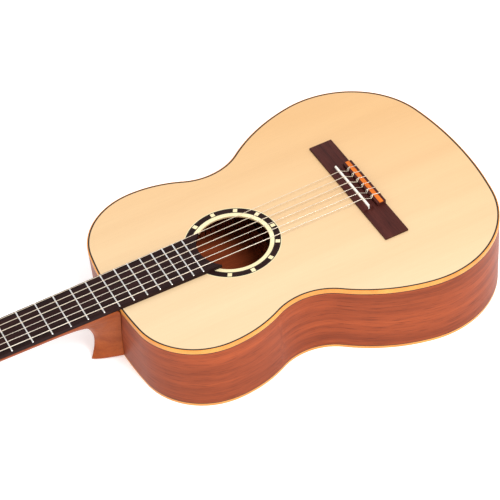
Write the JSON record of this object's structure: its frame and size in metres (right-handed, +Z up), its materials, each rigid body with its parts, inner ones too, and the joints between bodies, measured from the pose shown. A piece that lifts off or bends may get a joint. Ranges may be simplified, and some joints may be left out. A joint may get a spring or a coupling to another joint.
{
  "type": "classical guitar",
  "caption": "Full-size classical guitar lying on its back: spruce top, mahogany body and neck, nylon strings, slotted head with turning tuner buttons.",
  "frame": {"origin": "middle of the underside of the bounding box, on the surface the flat back lies on", "axes": "+Z up out of the soundboard, +X from the headstock to the tail, +Y towards the treble (first string) side"},
  "size_m": [0.9924, 0.3704, 0.1117],
  "materials": {
    "spruce": "clear satin lacquer over pale straight grain",
    "mahogany": "clear gloss lacquer over reddish-brown wood",
    "rosewood": "very dark open-pored wood, oiled",
    "amber_wood": "honey-coloured binding under clear lacquer",
    "pale_wood": "bare sanded softwood",
    "bone_white": "polished ivory white",
    "fret_wire": "polished nickel-silver wire",
    "brass_plate": "polished, clear lacquered",
    "nylon": "clear extruded monofilament",
    "wound_string": "silvered fine winding",
    "pearl_button": "pearled cream plastic"
  },
  "bodies": {
    "guitar": {"back": "mahogany", "back_bracing": "mahogany", "rib_bass": "mahogany", "rib_treble": "mahogany", "neck_block": "mahogany", "tail_block": "mahogany", "neck": "mahogany", "back_lining": "pale_wood", "top_lining": "pale_wood", "soundhole_bracing": "pale_wood", "fan_bracing": "pale_wood", "back_binding": "amber_wood", "top_binding": "amber_wood", "tie_block_inlay": "amber_wood", "rosette": "rosewood", "bridge": "rosewood", "fingerboard": "rosewood", "head_veneer": "rosewood", "soundboard": "spruce", "saddle": "bone_white", "nut": "bone_white", "fret_01": "fret_wire", "fret_02": "fret_wire", "fret_03": "fret_wire", "fret_04": "fret_wire", "fret_05": "fret_wire", "fret_06": "fret_wire", "fret_07": "fret_wire", "fret_08": "fret_wire", "fret_09": "fret_wire", "fret_10": "fret_wire", "fret_11": "fret_wire", "fret_12": "fret_wire", "fret_13": "fret_wire", "fret_14": "fret_wire", "fret_15": "fret_wire", "fret_16": "fret_wire", "fret_17": "fret_wire", "fret_18": "fret_wire", "fret_19": "fret_wire", "string_1": "nylon", "string_2": "nylon", "string_3": "nylon", "string_4": "wound_string", "string_5": "wound_string", "string_6": "wound_string", "tuner_plate_treble": "brass_plate", "tuner_plate_bass": "brass_plate"},
    "roller_treble_1": {"roller_treble_1": "bone_white"},
    "button_treble_1": {"button_treble_1": "pearl_button"},
    "roller_treble_2": {"roller_treble_2": "bone_white"},
    "button_treble_2": {"button_treble_2": "pearl_button"},
    "roller_treble_3": {"roller_treble_3": "bone_white"},
    "button_treble_3": {"button_treble_3": "pearl_button"},
    "roller_bass_1": {"roller_bass_1": "bone_white"},
    "button_bass_1": {"button_bass_1": "pearl_button"},
    "roller_bass_2": {"roller_bass_2": "bone_white"},
    "button_bass_2": {"button_bass_2": "pearl_button"},
    "roller_bass_3": {"roller_bass_3": "bone_white"},
    "button_bass_3": {"button_bass_3": "pearl_button"}
  },
  "joints": [
    {"name": "turn_button_treble_1", "type": "hinge", "parent": "guitar", "child": "button_treble_1", "pos_m": [-0.36015, 0.0414, 0.06959], "axis": [-0.2728, 0, 0.9621], "continuous": true},
    {"name": "turn_roller_treble_1", "type": "hinge", "parent": "guitar", "child": "roller_treble_1", "pos_m": [-0.36871, 0.0414, 0.06716], "axis": [0, 1, 0], "continuous": true},
    {"name": "turn_button_treble_2", "type": "hinge", "parent": "guitar", "child": "button_treble_2", "pos_m": [-0.39382, 0.0414, 0.06004], "axis": [-0.2728, 0, 0.9621], "continuous": true},
    {"name": "turn_roller_treble_2", "type": "hinge", "parent": "guitar", "child": "roller_treble_2", "pos_m": [-0.40238, 0.0414, 0.05761], "axis": [0, 1, 0], "continuous": true},
    {"name": "turn_button_treble_3", "type": "hinge", "parent": "guitar", "child": "button_treble_3", "pos_m": [-0.42749, 0.0414, 0.05049], "axis": [-0.2728, 0, 0.9621], "continuous": true},
    {"name": "turn_roller_treble_3", "type": "hinge", "parent": "guitar", "child": "roller_treble_3", "pos_m": [-0.43605, 0.0414, 0.04806], "axis": [0, 1, 0], "continuous": true},
    {"name": "turn_button_bass_1", "type": "hinge", "parent": "guitar", "child": "button_bass_1", "pos_m": [-0.36015, -0.0414, 0.06959], "axis": [-0.2728, 0, 0.9621], "continuous": true},
    {"name": "turn_roller_bass_1", "type": "hinge", "parent": "guitar", "child": "roller_bass_1", "pos_m": [-0.36871, -0.0414, 0.06716], "axis": [0, 1, 0], "continuous": true},
    {"name": "turn_button_bass_2", "type": "hinge", "parent": "guitar", "child": "button_bass_2", "pos_m": [-0.39382, -0.0414, 0.06004], "axis": [-0.2728, 0, 0.9621], "continuous": true},
    {"name": "turn_roller_bass_2", "type": "hinge", "parent": "guitar", "child": "roller_bass_2", "pos_m": [-0.40238, -0.0414, 0.05761], "axis": [0, 1, 0], "continuous": true},
    {"name": "turn_button_bass_3", "type": "hinge", "parent": "guitar", "child": "button_bass_3", "pos_m": [-0.42749, -0.0414, 0.05049], "axis": [-0.2728, 0, 0.9621], "continuous": true},
    {"name": "turn_roller_bass_3", "type": "hinge", "parent": "guitar", "child": "roller_bass_3", "pos_m": [-0.43605, -0.0414, 0.04806], "axis": [0, 1, 0], "continuous": true}
  ],
  "couplings": [
    {"joint": "turn_roller_treble_1", "follows": "turn_button_treble_1", "ratio": 0.071429},
    {"joint": "turn_roller_treble_2", "follows": "turn_button_treble_2", "ratio": 0.071429},
    {"joint": "turn_roller_treble_3", "follows": "turn_button_treble_3", "ratio": 0.071429},
    {"joint": "turn_roller_bass_1", "follows": "turn_button_bass_1", "ratio": 0.071429},
    {"joint": "turn_roller_bass_2", "follows": "turn_button_bass_2", "ratio": 0.071429},
    {"joint": "turn_roller_bass_3", "follows": "turn_button_bass_3", "ratio": 0.071429}
  ]
}
